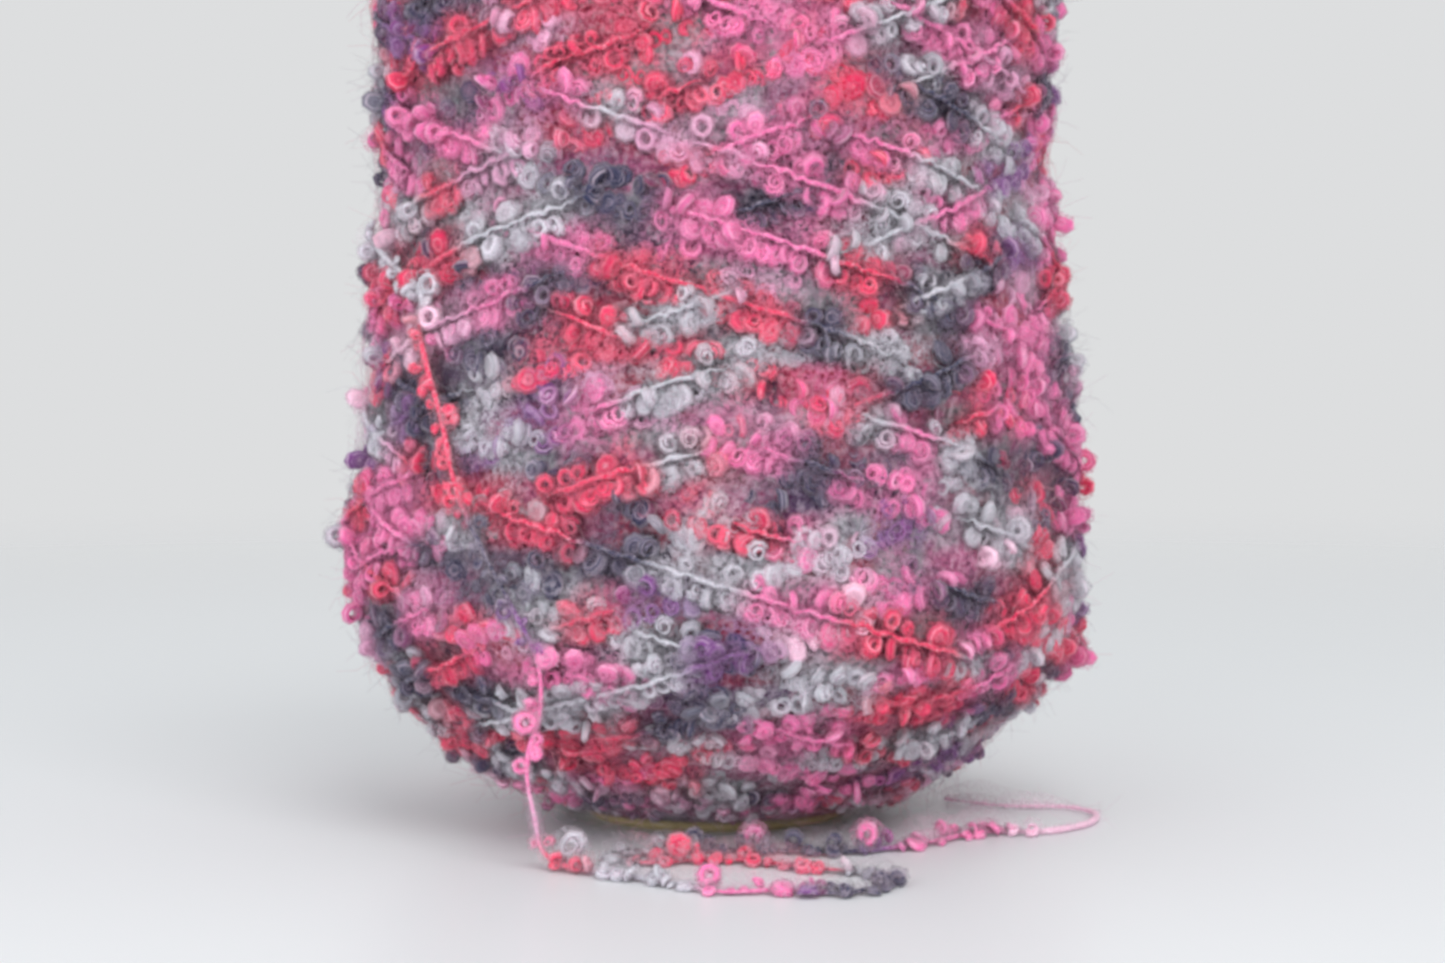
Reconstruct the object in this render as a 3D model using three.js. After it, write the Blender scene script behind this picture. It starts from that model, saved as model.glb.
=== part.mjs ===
// A machine-wound cone of boucle mohair yarn, in millimetres, +Z up.
// The origin is at the middle of the tube's base, where the cone stands.
//
// Three pieces, as a mill makes them:
//   paper_tube   the tapered cardboard tube that the yarn is wound on
//   wound_yarn   the whole winding as one solid, with its crossing bands of yarn raised
//   loose_end    the free end of the yarn, which falls down the front and lies on the surface
import * as THREE from "three";

// The tube: a 3 degree 30 paper cone
const tubeLength = 230;
const tubeTaper = THREE.MathUtils.degToRad(3.5); // half angle of the cone
const tubeBaseRadius = 31;
const tubeWall = 3;
const tubeEdgeRound = 0.8; // the burnished edges of the cardboard
const tubeSides = 48;

// The winding
const seatGap = 0.35; // between the tube and the innermost turn
const windingSides = 60;
const windingRows = 68; // rings along the winding's outline
const widestRadius = 88;
const windingAngle = THREE.MathUtils.degToRad(15); // how steeply the yarn crosses the cone
const bandsAround = 7; // raised bands in each direction
const bandRise = 0.55; // half the height of a raised band
const bandOffset = 1.1; // turns the falling bands against the rising ones, in radians
const liftStart = 4; // the raised surface fades in from this far outside the tube's base
const liftFull = 34; // and is at its full height from here on

// The loose end, without its loops
const yarnDiameter = 1.6;
const yarnSides = 8;
const yarnSteps = 80;

// Outline of the winding, one row for each height: the radius that its surface has there.
const windingOutline = [
  { height: 3.2, radius: 31.9 },
  { height: 3.5, radius: 43 },
  { height: 8.4, radius: 52.6 },
  { height: 13.4, radius: 60.8 },
  { height: 23, radius: 70.2 },
  { height: 32.5, radius: 79.5 },
  { height: 38.5, radius: 84.2 },
  { height: 44.5, radius: 86.7 },
  { height: 53, radius: widestRadius },
  { height: 76, radius: 87 },
  { height: 100, radius: 84.6 },
  { height: 124, radius: 82.9 },
  { height: 148, radius: 81 },
  { height: 172, radius: 80.8 },
  { height: 194, radius: 80.6 },
  { height: 204, radius: 79 },
  { height: 212, radius: 75 },
  { height: 218, radius: 68 },
  { height: 221.5, radius: 57 },
  { height: 222.6, radius: 44 },
  { height: 222.4, radius: 30 },
  { height: 221.8, radius: 18.6 },
];

// Where the hand of the winder left the cone fuller or thinner: a soft swelling at an angle
// (0 is +X, 90 is +Y) and a height, which fades over its reach.
const swellings = [
  { angle: 0, height: 108, reach: 13, rise: 2.2 },
  { angle: 5, height: 160, reach: 26, rise: -1 },
  { angle: 0, height: 37, reach: 11, rise: 1.3 },
  { angle: 180, height: 36, reach: 12, rise: -1.6 },
  { angle: 180, height: 64, reach: 17, rise: 0.8 },
  { angle: 175, height: 188, reach: 20, rise: 0.9 },
  { angle: 95, height: 128, reach: 24, rise: 1.2 },
  { angle: 265, height: 84, reach: 22, rise: 0.9 },
];

// Route of the loose end along its middle: off the winding at the left, down its front,
// free from the widest turn to the surface, and to and fro on the surface.
const looseEndRoute = [
  [-82.9, -11.6, 139],
  [-74, -39.3, 132],
  [-65.6, -53, 124],
  [-66, -54.6, 117.5],
  [-65, -56.9, 112],
  [-59.9, -65.1, 95.7],
  [-57.4, -66.6, 83.6],
  [-51, -74.6, 69.8],
  [-43.2, -79.1, 55.6],
  [-38.4, -80.6, 46],
  [-37.6, -80.4, 36],
  [-40.6, -80, 22],
  [-38.8, -80, 10.5],
  [-37.2, -80.4, 4.2],
  [-32, -83, 1.3],
  [-20.5, -90.5, 0.9],
  [-7.5, -102, 1],
  [2, -110.5, 0.9],
  [14, -108.6, 1],
  [26.5, -111.5, 0.9],
  [34, -104.5, 1],
  [36, -96, 0.9],
  [31.5, -88.5, 1],
  [20, -82.5, 0.9],
  [6.5, -73.5, 1],
  [-5.5, -73, 0.9],
  [-14.5, -77, 1],
  [-21, -72, 0.9],
  [-18, -64.4, 1],
  [-6, -60, 0.9],
  [12, -61, 1],
  [30, -62, 0.9],
  [47, -51.5, 1],
  [62.5, -35.5, 0.9],
  [76, -35.5, 1],
  [88, -23, 0.9],
  [91, -8, 1],
  [85, 1.5, 0.9],
  [71, 2.5, 1],
  [57, 14, 0.9],
];

const tubeRadiusAt = (height) => tubeBaseRadius - height * Math.tan(tubeTaper);

// How far the raised bands and the swellings lift the winding at an angle and a height.
function windingLift(angle, height) {
  // A band climbs by this much from one band to the next one round the cone.
  const climb = (2 * Math.PI * widestRadius * Math.tan(windingAngle)) / bandsAround;
  const climbed = (2 * Math.PI * height) / climb;
  const rising = Math.cos(bandsAround * angle - climbed);
  const falling = Math.cos(bandsAround * angle + climbed + bandOffset);
  let lift = bandRise * (rising + falling);
  for (const swelling of swellings) {
    const turned = angle - THREE.MathUtils.degToRad(swelling.angle);
    const across = 2 * (1 - Math.cos(turned));
    const along = (height - swelling.height) / swelling.reach;
    lift += swelling.rise * Math.exp(-along * along - across);
  }
  return lift;
}

// A closed profile of (radius, height) turned about +Z.
function uprightLathe(profile, sides) {
  return new THREE.LatheGeometry(profile, sides).rotateX(Math.PI / 2);
}

// The tapered tube, open at both ends, with its cut edges rounded.
function paperTube() {
  const noseRadius = tubeRadiusAt(tubeLength);
  const edge = tubeEdgeRound;
  const profile = [
    new THREE.Vector2(tubeBaseRadius - tubeWall + edge / 2, 0),
    new THREE.Vector2(tubeBaseRadius - edge, 0),
    new THREE.Vector2(tubeRadiusAt(edge), edge),
    new THREE.Vector2(tubeRadiusAt(tubeLength - edge), tubeLength - edge),
    new THREE.Vector2(noseRadius - edge, tubeLength),
    new THREE.Vector2(noseRadius - tubeWall + edge, tubeLength),
    new THREE.Vector2(noseRadius - tubeWall, tubeLength - edge),
    new THREE.Vector2(tubeBaseRadius - tubeWall, edge / 2),
  ];
  return uprightLathe([...profile, profile[0].clone()], tubeSides);
}

// The winding: its outline turned about the tube and closed by its seat, with its surface lifted.
function woundYarn() {
  const outline = new THREE.SplineCurve(
    windingOutline.map((row) => new THREE.Vector2(row.radius, row.height)),
  );
  const outer = outline.getSpacedPoints(windingRows);
  const bottom = outer[0];
  const top = outer[windingRows];
  bottom.x = tubeRadiusAt(bottom.y) + seatGap;
  top.x = tubeRadiusAt(top.y) + seatGap;
  const wound = uprightLathe([...outer, bottom.clone()], windingSides);
  const points = wound.attributes.position;
  const point = new THREE.Vector3();
  for (let i = 0; i < points.count; i += 1) {
    point.fromBufferAttribute(points, i);
    const radius = Math.hypot(point.x, point.y);
    const angle = Math.atan2(point.y, point.x);
    const share = THREE.MathUtils.smoothstep(
      radius, tubeBaseRadius + liftStart, tubeBaseRadius + liftFull,
    );
    const scale = (radius + share * windingLift(angle, point.z)) / radius;
    points.setXY(i, point.x * scale, point.y * scale);
  }
  return wound;
}

// The loose end: a round section drawn along its route.
function looseEnd() {
  const route = new THREE.CatmullRomCurve3(looseEndRoute.map((p) => new THREE.Vector3(...p)));
  const section = new THREE.Shape();
  section.absarc(0, 0, yarnDiameter / 2, 0, 2 * Math.PI);
  return new THREE.ExtrudeGeometry(section, {
    steps: yarnSteps,
    curveSegments: yarnSides / 2,
    bevelEnabled: false,
    extrudePath: route,
  });
}

const cardboard = new THREE.MeshStandardMaterial({ color: 0x8d7f52, roughness: 0.85, metalness: 0 });
const mohair = new THREE.MeshStandardMaterial({ color: 0xa8657f, roughness: 1, metalness: 0 });
const mohairEnd = new THREE.MeshStandardMaterial({ color: 0xd9839f, roughness: 1, metalness: 0 });

function piece(name, geometry, material) {
  const mesh = new THREE.Mesh(geometry, material);
  mesh.name = name;
  return mesh;
}

const yarnCone = new THREE.Group();
yarnCone.add(piece("paper_tube", paperTube(), cardboard));
yarnCone.add(piece("wound_yarn", woundYarn(), mohair));
yarnCone.add(piece("loose_end", looseEnd(), mohairEnd));

export default yarnCone;
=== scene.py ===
# %% [markdown]
# # A cone of mohair boucle yarn
#
# Boucle is a fancy yarn: a soft mohair strand is fed too fast round a thin core, so that it curls
# into small rings on both sides, and a binder holds them there. A winding machine lays the yarn
# on a tapered paper tube, in strands that cross the cone up and down at a flat angle. So the look
# is thousands of soft rings on crossing strands, and this lesson builds it in that way: a packed
# body under everything, the strands, their rings and the fine fibres that stand off them.

# %% Load the frame
import math
from types import SimpleNamespace

import bmesh
import bpy
import numpy as np
from mathutils import Matrix, Vector, noise
from mathutils.bvhtree import BVHTree
from mathutils.kdtree import KDTree


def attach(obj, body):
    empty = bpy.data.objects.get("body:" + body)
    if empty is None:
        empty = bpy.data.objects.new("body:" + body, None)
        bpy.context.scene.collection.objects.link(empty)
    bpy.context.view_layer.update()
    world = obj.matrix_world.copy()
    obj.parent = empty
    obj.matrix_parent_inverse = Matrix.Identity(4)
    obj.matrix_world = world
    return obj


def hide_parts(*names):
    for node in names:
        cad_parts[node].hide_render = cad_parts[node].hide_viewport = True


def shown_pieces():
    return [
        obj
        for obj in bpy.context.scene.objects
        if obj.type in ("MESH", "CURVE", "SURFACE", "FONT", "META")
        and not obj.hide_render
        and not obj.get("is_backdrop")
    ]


MM = 0.001
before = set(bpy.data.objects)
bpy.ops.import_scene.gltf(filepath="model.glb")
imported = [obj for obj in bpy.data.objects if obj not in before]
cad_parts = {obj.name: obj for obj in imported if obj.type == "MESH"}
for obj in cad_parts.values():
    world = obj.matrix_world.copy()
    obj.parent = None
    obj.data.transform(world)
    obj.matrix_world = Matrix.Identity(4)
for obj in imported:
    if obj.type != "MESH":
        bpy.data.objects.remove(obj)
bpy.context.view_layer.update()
print("nodes:", ", ".join(sorted(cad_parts)))

# %% [markdown]
# ## The camera
#
# The photo looks at the cone from a little above its middle with a short telephoto lens, so that
# the cone's sides stay almost parallel and its top is outside the picture. The camera's place
# was worked out from the rim of the tube and the widest turn. The lens is 72 mm on a 36 mm frame.

# %% Camera
LOOKS_DOWN = 2.5  # degrees


def new_object(name, data):
    """An object in the scene that shows this data."""
    made = bpy.data.objects.new(name, data)
    bpy.context.collection.objects.link(made)
    return made


camera_data = bpy.data.cameras.new("camera")
camera_data.sensor_width = 36
camera_data.lens = 72
camera = new_object("camera", camera_data)
camera.location = (1.6 * MM, -700 * MM, 111 * MM)
camera.rotation_euler = (math.radians(90 - LOOKS_DOWN), 0, 0)
bpy.context.scene.camera = camera
print("camera looks along +Y from", tuple(round(x, 4) for x in camera.location))

# %% [markdown]
# ## The route of the loose end
#
# The yarn's free end leaves the winding at the left, slides down its front, hangs free from the
# widest turn to the surface, and lies there to and fro. Its route is the one that the solid
# model has, point for point. A centripetal Catmull-Rom spline goes through such points without
# the overshoots that a plain one has at a sharp bend.

# %% Route
LOOSE_ROUTE_MM = [  # (x, y, z)
    (-82.9, -11.6, 139), (-74, -39.3, 132), (-65.6, -53, 124), (-66, -54.6, 117.5),
    (-65, -56.9, 112), (-59.9, -65.1, 95.7), (-57.4, -66.6, 83.6), (-51, -74.6, 69.8),
    (-43.2, -79.1, 55.6), (-38.4, -80.6, 46), (-37.6, -80.4, 36), (-40.6, -80, 22),
    (-38.8, -80, 10.5), (-37.2, -80.4, 4.2), (-32, -83, 1.3), (-20.5, -90.5, 0.9),
    (-7.5, -102, 1), (2, -110.5, 0.9), (14, -108.6, 1), (26.5, -111.5, 0.9),
    (34, -104.5, 1), (36, -96, 0.9), (31.5, -88.5, 1), (20, -82.5, 0.9),
    (6.5, -73.5, 1), (-5.5, -73, 0.9), (-14.5, -77, 1), (-21, -72, 0.9),
    (-18, -64.4, 1), (-6, -60, 0.9), (12, -61, 1), (30, -62, 0.9),
    (47, -51.5, 1), (62.5, -35.5, 0.9), (76, -35.5, 1), (88, -23, 0.9),
    (91, -8, 1), (85, 1.5, 0.9), (71, 2.5, 1), (57, 14, 0.9),
]
YARN_DIAMETER = 1.6 * MM


def smooth_route(points, steps):
    """Points on a centripetal Catmull-Rom spline, steps of them for each stretch."""
    points = np.array(points, float)
    ends = np.vstack([2 * points[0] - points[1], points, 2 * points[-1] - points[-2]])
    made = []
    for a, b, c, d in zip(ends, ends[1:], ends[2:], ends[3:]):
        ab = math.sqrt(np.linalg.norm(b - a))
        bc = math.sqrt(np.linalg.norm(c - b))
        cd = math.sqrt(np.linalg.norm(d - c))
        leave = ((b - a) / ab - (c - a) / (ab + bc) + (c - b) / bc) * bc
        arrive = ((c - b) / bc - (d - b) / (bc + cd) + (d - c) / cd) * bc
        for t in np.arange(steps) / steps:
            curve = b * (2 * t**3 - 3 * t**2 + 1) + c * (3 * t**2 - 2 * t**3)
            made.append(curve + leave * (t**3 - 2 * t**2 + t) + arrive * (t**3 - t**2))
    return np.array(made + [points[-1]])


def lengths_along(points):
    """How far along the line each of its points is."""
    return np.append(0, np.cumsum(np.linalg.norm(np.diff(points, axis=0), axis=1)))


loose_line = smooth_route(LOOSE_ROUTE_MM, 8) * MM
loose_length = lengths_along(loose_line)[-1]
print(f"the loose end is {loose_length:.3f} m long")

# %% [markdown]
# ## Places on the winding
#
# Everything on the cone is placed by an angle round it and a share of its outline, from 0 at the
# tube's foot to 1 at its nose. A fan of rays finds the place: level rays along the sides, and
# rays that turn down and up round the two shoulders. They are cast on the solid model itself, so
# the looks follow its uneven form exactly. The fan's steps are spaced by how far apart they land.

# %% Rays on the solid winding
FAN_LOW = 55 * MM
FAN_HIGH = 165 * MM
FAN_DOWN = math.radians(-56)
FAN_UP = math.radians(71)
FAN_REACH = 250 * MM
FAN_RAYS = 60  # in each of its three parts

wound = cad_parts["wound_yarn"]
wound_tree = BVHTree.FromPolygons(
    [wound.matrix_world @ v.co for v in wound.data.vertices],
    [p.vertices[:] for p in wound.data.polygons],
)
part_shares = np.linspace(0, 1, FAN_RAYS, endpoint=False)
fan = [(FAN_LOW, FAN_DOWN * (1 - t)) for t in part_shares]
fan += [(FAN_LOW + (FAN_HIGH - FAN_LOW) * t, 0) for t in part_shares]
fan += [(FAN_HIGH, FAN_UP * t) for t in np.linspace(0, 1, FAN_RAYS)]
fan = np.array(fan)


def cast(angle, height, slope):
    """Where a ray that comes in towards the axis meets the winding."""
    level = math.cos(slope)
    out = Vector((math.cos(angle) * level, math.sin(angle) * level, math.sin(slope)))
    start = Vector((0, 0, height)) + out * FAN_REACH
    return wound_tree.ray_cast(start, -out)[0]


front = np.array([cast(math.radians(-90), *row) for row in fan])
fan_share = lengths_along(front)
OUTLINE = fan_share[-1]
fan_share = fan_share / OUTLINE


def on_winding(angle, share):
    """The point of the winding at an angle and a share of its outline."""
    height, slope = (np.interp(share, fan_share, column) for column in fan.T)
    return cast(angle, height, slope)


ASIDE = 0.02  # how far a neighbour is, as an angle
ALONG = 0.008  # and as a share of the outline


def way_out(angle, share):
    """The direction straight out of the winding there."""
    around = on_winding(angle + ASIDE, share) - on_winding(angle - ASIDE, share)
    up = on_winding(angle, min(share + ALONG, 1)) - on_winding(angle, max(share - ALONG, 0))
    return around.cross(up).normalized()


print(f"the outline is {OUTLINE:.3f} m long, and is {front[len(fan) // 2][1] * -2:.3f} m wide at mid height")

# %% [markdown]
# ## The path of the yarn
#
# The yarn goes up and down the cone in one continuous path. Each there and back takes three and
# a bit turns, and the bit is 8 elevenths, so that 11 of them share the cone out evenly. The
# share of the outline follows a triangle wave with soft tips, where the guide turns round. A
# little noise keeps it from looking like a net.

# %% Path
CYCLES = 11
TURNS_A_CYCLE = 3 + 8 / 11
PATH_POINTS = 16000
TIP_SHARPNESS = 0.975
LOWEST_SHARE = 0.015
HIGHEST_SHARE = 0.965
WANDER = 0.012  # of the outline
WANDERS_A_TURN = 1.7


def path_places(count, offset):
    """Angles and shares along the yarn's path, turned round the cone by an offset angle."""
    turn = np.linspace(0, 2 * math.pi * CYCLES, count)
    wave = np.arcsin(TIP_SHARPNESS * np.sin(turn)) / math.asin(TIP_SHARPNESS)
    share = LOWEST_SHARE + (HIGHEST_SHARE - LOWEST_SHARE) * (wave + 1) / 2
    wander = [noise.noise((t * WANDERS_A_TURN, offset, 0)) for t in turn]
    share = np.clip(share + WANDER * np.array(wander), LOWEST_SHARE, HIGHEST_SHARE)
    return turn * TURNS_A_CYCLE + offset, share


path_angle, path_share = path_places(PATH_POINTS, 0.0)
path = np.array([on_winding(a, s) for a, s in zip(path_angle, path_share)])
path_out = np.array([way_out(a, s) for a, s in zip(path_angle, path_share)])
path_run = lengths_along(path)
path_way = np.gradient(path, axis=0)
path_way /= np.linalg.norm(path_way, axis=1)[:, None]
print(f"{path_run[-1]:.1f} m of yarn lie on the surface")

# %% [markdown]
# ## The dyes
#
# The yarn is space dyed: a strand of white mohair is printed with one dye after another, in
# short runs that bleed into each other. Each run here is 9 to 32 mm long. A dye's number is
# drawn from a seeded generator, so that the colours are the same each time. The colours are
# written as they look on a screen and turned into the linear values that a renderer needs.

# %% Dyes
DYES = {  # name: (red, green, blue, share of the yarn)
    "scarlet": (242, 42, 94, 0.25),
    "rose": (252, 122, 184, 0.23),
    "blush": (234, 168, 204, 0.06),
    "petal": (254, 208, 230, 0.02),
    "silver": (206, 208, 216, 0.22),
    "slate": (30, 44, 78, 0.17),
    "plum": (128, 66, 142, 0.05),
}
RUN_SHORTEST = 9 * MM
RUN_LONGEST = 32 * MM
BLEED = 6 * MM


def linear(red, green, blue):
    """A screen colour, 0 to 255, as linear values."""
    share = np.array([red, green, blue]) / 255
    return np.where(share <= 0.04045, share / 12.92, ((share + 0.055) / 1.055) ** 2.4)


DYE_COLOURS = np.array([linear(*row[:3]) for row in DYES.values()])
DYE_SHARES = np.array([row[3] for row in DYES.values()])


def paled(colours, share, *pale):
    """Dyes with this share of a pale screen colour in them."""
    return (1 - share) * colours + share * linear(*pale)


def in_runs(starts, colours):
    """A function that gives the colour along a yarn whose dyes begin at these lengths."""
    def colour(run):
        here = (np.searchsorted(starts, run) - 1).clip(0, len(starts) - 1)
        before = np.maximum(here - 1, 0)
        bled = np.clip((run - starts[here]) / BLEED, 0, 1)[:, None]
        return colours[before] * (1 - bled) + colours[here] * bled

    return colour


def dyed(length, seed):
    """The same for a yarn of this length whose runs and dyes are drawn by chance."""
    draw = np.random.default_rng(seed)
    lengths = draw.uniform(RUN_SHORTEST, RUN_LONGEST, int(length / RUN_SHORTEST) + 2)
    dyes = draw.choice(len(DYES), len(lengths), p=DYE_SHARES)
    return in_runs(np.cumsum(lengths) - lengths[0], DYE_COLOURS[dyes])


yarn_colour = dyed(path_run[-1], seed=11)
print("dyes:", ", ".join(DYES))

# %% [markdown]
# ## Many copies as one mesh
#
# Thousands of separate objects would be slow, so each kind of piece is modelled once with bmesh
# operators, and then its points are copied by arrays: every copy is the same points, turned,
# sized and moved. A colour attribute named dye carries the yarn's colour, and an attribute named
# hairs holds a place in which fine noise runs along the strand. A map gives each face its own
# small square, so that a baked picture of the mesh keeps its colours apart.

# %% Masters and their copies
def master_of(bm, middle=None):
    """The points and faces of a small bmesh, ready to be copied. The bmesh is freed.

    middle is the middle of a ring. Its hairs then run round it, and its rim is 1 at the outer
    and inner edge of the ring and 0 on its crest."""
    bmesh.ops.remove_doubles(bm, verts=bm.verts, dist=1e-6)
    bmesh.ops.recalc_face_normals(bm, faces=bm.faces)
    bm.verts.index_update()
    points = np.array([v.co[:] for v in bm.verts])
    made = SimpleNamespace(
        points=points,
        corners=np.array([v.index for f in bm.faces for v in f.verts]),
        sizes=np.array([len(f.verts) for f in bm.faces]),
        hairs=points,
        rim=np.zeros(len(points)),
    )
    bm.free()
    if middle is not None:
        apart = np.hypot(points[:, 0], points[:, 1] - middle)
        made.hairs = np.stack([apart, points[:, 2], np.zeros(len(points))], 1)
        made.rim = 1 - np.abs(points[:, 2]) / np.abs(points[:, 2]).max()
    return made


def mesh_from(name, points, corners, sizes, colours, hairs):
    """A smooth mesh object from arrays, with its attributes and a bake map of squares."""
    mesh = bpy.data.meshes.new(name)
    mesh.vertices.add(len(points))
    mesh.vertices.foreach_set("co", points.ravel())
    mesh.loops.add(len(corners))
    mesh.loops.foreach_set("vertex_index", corners)
    mesh.polygons.add(len(sizes))
    starts = np.append(0, np.cumsum(sizes)[:-1])
    mesh.polygons.foreach_set("loop_start", starts)
    mesh.update(calc_edges=True)
    paint_dye(mesh, colours)
    mesh.attributes.new("hairs", "FLOAT_VECTOR", "POINT").data.foreach_set("vector", hairs.ravel())
    face = np.repeat(np.arange(len(sizes)), sizes)
    corner = np.arange(len(corners)) - starts[face]
    side = math.ceil(math.sqrt(len(sizes)))
    low, high = 0.15, 0.85  # leaves a gap between the squares
    inset = np.array([(low, low), (high, low), (high, high), (low, high)])[corner]
    squares = (np.stack([face % side, face // side], 1) + inset) / side
    mesh.uv_layers.new(name="OFBake").data.foreach_set("uv", squares.ravel())
    return smooth_object(name, mesh)


def smooth_object(name, mesh):
    """An object with this mesh, shaded smooth."""
    mesh.polygons.foreach_set("use_smooth", np.ones(len(mesh.polygons), bool))
    return new_object(name, mesh)


def paint_dye(mesh, colours):
    """Stores a colour for each point of a mesh."""
    rgba = np.column_stack([colours, np.ones(len(colours))])
    mesh.color_attributes.new("dye", "FLOAT_COLOR", "POINT").data.foreach_set("color", rgba.ravel())


def tree_of(places):
    """A search tree of places."""
    tree = KDTree(len(places))
    for number, place in enumerate(places):
        tree.insert(place, number)
    tree.balance()
    return tree


def paint_nearest(piece, line, colours):
    """Gives each point of a piece the dye of the nearest point on a line."""
    tree = tree_of(line)
    paint_dye(piece.data, np.array([colours[tree.find(v.co)[1]] for v in piece.data.vertices]))


def copies(name, masters, picks, turns, shifts, colours, rim_colours):
    """One mesh of copies: number i is masters[picks[i]], turned by turns[i], moved by shifts[i]."""
    points, corners, sizes, dye, hairs = [], [], [], [], []
    first = 0
    for number, master in enumerate(masters):
        mine = np.flatnonzero(picks == number)
        placed = np.einsum("nij,vj->nvi", turns[mine], master.points) + shifts[mine, None]
        points.append(placed.reshape(-1, 3))
        offsets = first + np.arange(len(mine)) * len(master.points)
        corners.append((offsets[:, None] + master.corners).ravel())
        sizes.append(np.tile(master.sizes, len(mine)))
        rim = master.rim[None, :, None]
        dye.append((colours[mine, None] * (1 - rim) + rim_colours[mine, None] * rim).reshape(-1, 3))
        apart = np.zeros((len(mine), 1, 3))
        apart[:, 0, 2] = mine
        hairs.append((master.hairs[None] + apart * MM).reshape(-1, 3))
        first += len(mine) * len(master.points)
    joined = [np.concatenate(part) for part in (points, corners, sizes, dye, hairs)]
    return mesh_from(name, *joined)


def triangles(piece):
    """How many triangles a piece has."""
    return sum(len(p.vertices) - 2 for p in piece.data.polygons)


def finish_piece(piece, material):
    """Gives a piece of yarn its material and its body, and counts its triangles."""
    piece.data.materials.append(material)
    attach(piece, "root")
    print(piece.name, triangles(piece), "triangles")


print("helpers are ready")

# %% [markdown]
# ## Fibres in the materials
#
# Mohair is a bundle of fine glossy fibres. Every yarn material shares one node group that draws
# them: a fine noise breaks the dye into paler hairs, its height roughens the surface, and the
# hollows of that bump are painted darker as shade. On a ring the noise reads the hairs attribute,
# so that the hairs run round the ring.
# The group puts out a colour and a height. The shader itself stays in each material, with a
# sheen for the soft bright edge that fuzz has, and a little light that scatters inside.

# %% Helpers for nodes
def set_values(node, values):
    """Sets the values of a node's own sockets."""
    for socket, value in values.items():
        node.inputs[socket].default_value = value


def add_node(tree, kind, values=(), links=(), **settings):
    """A shader node with its settings, its sockets' values and the outputs that feed them."""
    node = tree.nodes.new("ShaderNode" + kind)
    for name, value in settings.items():
        setattr(node, name, value)
    set_values(node, dict(values))
    for socket, output in dict(links).items():
        tree.links.new(output, node.inputs[socket])
    return node


def new_group(name, inputs, outputs):
    """A node group whose sockets have a name, a kind and, where it is given, a value."""
    group = bpy.data.node_groups.new(name, "ShaderNodeTree")
    for way, rows in (("INPUT", inputs), ("OUTPUT", outputs)):
        for socket, kind, *value in rows:
            made = group.interface.new_socket(socket, in_out=way, socket_type="NodeSocket" + kind)
            if value:
                made.default_value = value[0]
    return group


def new_material(name, values):
    """A material and its shader, with these values on the shader's sockets."""
    material = bpy.data.materials.new(name)
    material.use_nodes = True
    shader = material.node_tree.nodes["Principled BSDF"]
    set_values(shader, values)
    return material, shader


print("node helpers are ready")

# %% Fibre node group
PALE_HAIR = (0.86, 0.72, 0.82, 1)
# the colour of the painted shade in the hollows between the hairs, where the noise and its bump are low
HOLLOW_SHADE = (0.05, 0.02, 0.04, 1)
GREY = (0.5, 0.5, 0.5, 1)

fibres = new_group(
    "mohair fibres",
    [("Place", "Vector"), ("Dye", "Color", GREY), ("Fineness", "Float", 900.0),
     ("Paleness", "Float", 0.3), ("Depth", "Float", 0.5)],
    [("Colour", "Color"), ("Height", "Float")],
)


def build_fibres(tree):
    """Noise that pales the dye on some hairs, and paints shade between them where it is low."""
    given = tree.nodes.new("NodeGroupInput").outputs
    result = tree.nodes.new("NodeGroupOutput").inputs
    fine = add_node(
        tree, "TexNoise", {"Detail": 1}, {"Vector": given["Place"], "Scale": given["Fineness"]},
    )
    dye = given["Dye"]
    # the first mix pales some hairs; the second paints shade where the noise, and so the bump, is low
    for amount, low, high, colour in (
        ("Paleness", 0.48, 0.68, PALE_HAIR),
        ("Depth", 0.5, 0.3, HOLLOW_SHADE),
    ):
        share = add_node(
            tree, "MapRange", {"From Min": low, "From Max": high},
            {"Value": fine.outputs["Fac"], "To Max": given[amount]},
        )
        mixed = add_node(
            tree, "Mix", {"B": colour}, {"Factor": share.outputs["Result"], "A": dye},
            data_type="RGBA",
        )
        dye = mixed.outputs["Result"]
    tree.links.new(dye, result["Colour"])
    tree.links.new(fine.outputs["Fac"], result["Height"])


build_fibres(fibres)
print("fibre group has", len(fibres.nodes), "nodes")

# %% Yarn materials
def yarn_material(name, on_rings, fineness, paleness, depth, bump_height, sheen):
    """A mohair material that takes its dye from the mesh."""
    material, shader = new_material(name, {
        "Roughness": 0.9, "Specular IOR Level": 0.15,
        "Sheen Weight": sheen, "Sheen Roughness": 0.5, "Sheen Tint": (1, 0.94, 0.97, 1),
        "Subsurface Weight": 0.7, "Subsurface Radius": (1, 0.7, 0.8), "Subsurface Scale": 1.6 * MM,
    })
    shader.subsurface_method = "BURLEY"
    tree = material.node_tree
    dye = add_node(tree, "Attribute", attribute_name="dye").outputs["Color"]
    if on_rings:
        place = add_node(tree, "Attribute", attribute_name="hairs").outputs["Vector"]
    else:
        place = add_node(tree, "TexCoord").outputs["Object"]
    hairs = add_node(
        tree, "Group", {"Fineness": fineness, "Paleness": paleness, "Depth": depth},
        {"Place": place, "Dye": dye}, node_tree=fibres,
    )
    bump = add_node(
        tree, "Bump", {"Strength": 0.8, "Distance": bump_height},
        {"Height": hairs.outputs["Height"]},
    )
    tree.links.new(hairs.outputs["Colour"], shader.inputs["Base Color"])
    tree.links.new(bump.outputs["Normal"], shader.inputs["Normal"])
    return material


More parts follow.
